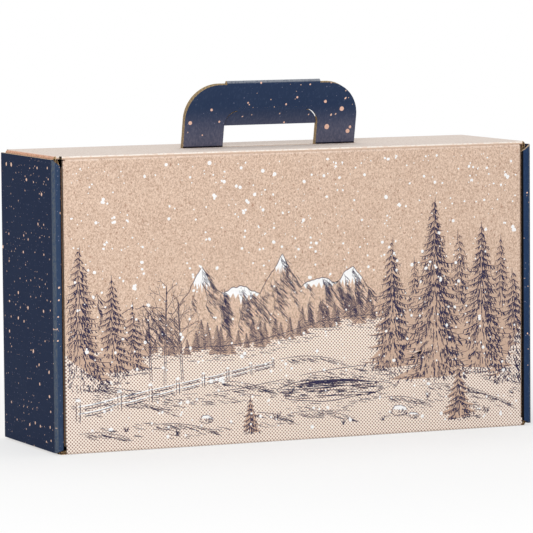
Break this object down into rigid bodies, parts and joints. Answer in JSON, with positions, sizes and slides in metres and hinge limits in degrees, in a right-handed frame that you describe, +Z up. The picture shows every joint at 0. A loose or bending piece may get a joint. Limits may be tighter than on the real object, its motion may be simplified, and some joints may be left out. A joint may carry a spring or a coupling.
{
  "type": "gift box",
  "caption": "Folded cardboard gift box with a front lid hinged along its foot, rolled side walls and a carrying handle that folds on its creases; it stands on its long narrow wall.",
  "frame": {"origin": "on the ground under the middle of the closed box", "axes": "+X along the box's length to the right of the printed front, +Y from the printed front to the back, +Z up"},
  "size_m": [0.33, 0.095, 0.2272],
  "materials": {
    "printed_kraft": "matt kraft liner with a printed scene and white dots",
    "coated_kraft": "kraft liner with a faint sheen",
    "kraft_board": "plain kraft liner, matt",
    "navy_board": "matt navy print with kraft specks",
    "navy_handle_board": "matt navy print with kraft specks, bare cut edges"
  },
  "bodies": {
    "tray": {"back_panel": "kraft_board", "bottom_wall": "kraft_board", "handle_back_flange": "kraft_board", "handle_front_flange": "kraft_board", "left_bottom_dust_flap": "kraft_board", "left_inner_wall": "kraft_board", "left_lock_tabs": "kraft_board", "left_outer_wall": "navy_board", "left_rollover_strip": "navy_board", "left_top_dust_flap": "kraft_board", "right_bottom_dust_flap": "kraft_board", "right_inner_wall": "kraft_board", "right_lock_tabs": "kraft_board", "right_outer_wall": "navy_board", "right_rollover_strip": "navy_board", "right_top_dust_flap": "kraft_board", "top_wall": "coated_kraft"},
    "lid": {"lid_panel": "printed_kraft"},
    "tuck_flap": {"lid_tuck_flap": "kraft_board"},
    "left_ear": {"left_lid_ear": "kraft_board"},
    "right_ear": {"right_lid_ear": "kraft_board"},
    "handle": {"handle_front_ply": "navy_handle_board", "handle_back_ply": "navy_handle_board", "handle_top_fold": "navy_handle_board"},
    "grip_flap": {"handle_grip_flap": "navy_handle_board"}
  },
  "joints": [
    {"name": "lid_hinge", "type": "hinge", "parent": "tray", "child": "lid", "pos_m": [0, -0.0475, 0.0022], "axis": [1, 0, 0], "range_deg": [0, 90]},
    {"name": "tuck_flap_fold", "type": "hinge", "parent": "lid", "child": "tuck_flap", "pos_m": [0, -0.0453, 0.1811], "axis": [-1, 0, 0], "range_deg": [-2, 20]},
    {"name": "left_ear_fold", "type": "hinge", "parent": "lid", "child": "left_ear", "pos_m": [-0.1563, -0.0453, 0.0925], "axis": [0, 0, -1], "range_deg": [0, 85]},
    {"name": "right_ear_fold", "type": "hinge", "parent": "lid", "child": "right_ear", "pos_m": [0.1563, -0.0453, 0.0925], "axis": [0, 0, 1], "range_deg": [0, 85]},
    {"name": "handle_tilt", "type": "hinge", "parent": "tray", "child": "handle", "pos_m": [0, 0, 0.1832], "axis": [1, 0, 0], "range_deg": [-32.5, 7.5]},
    {"name": "grip_flap_fold", "type": "hinge", "parent": "handle", "child": "grip_flap", "pos_m": [0, -0.00577, 0.20855], "axis": [1, 0, 0], "range_deg": [-10, 73]}
  ]
}
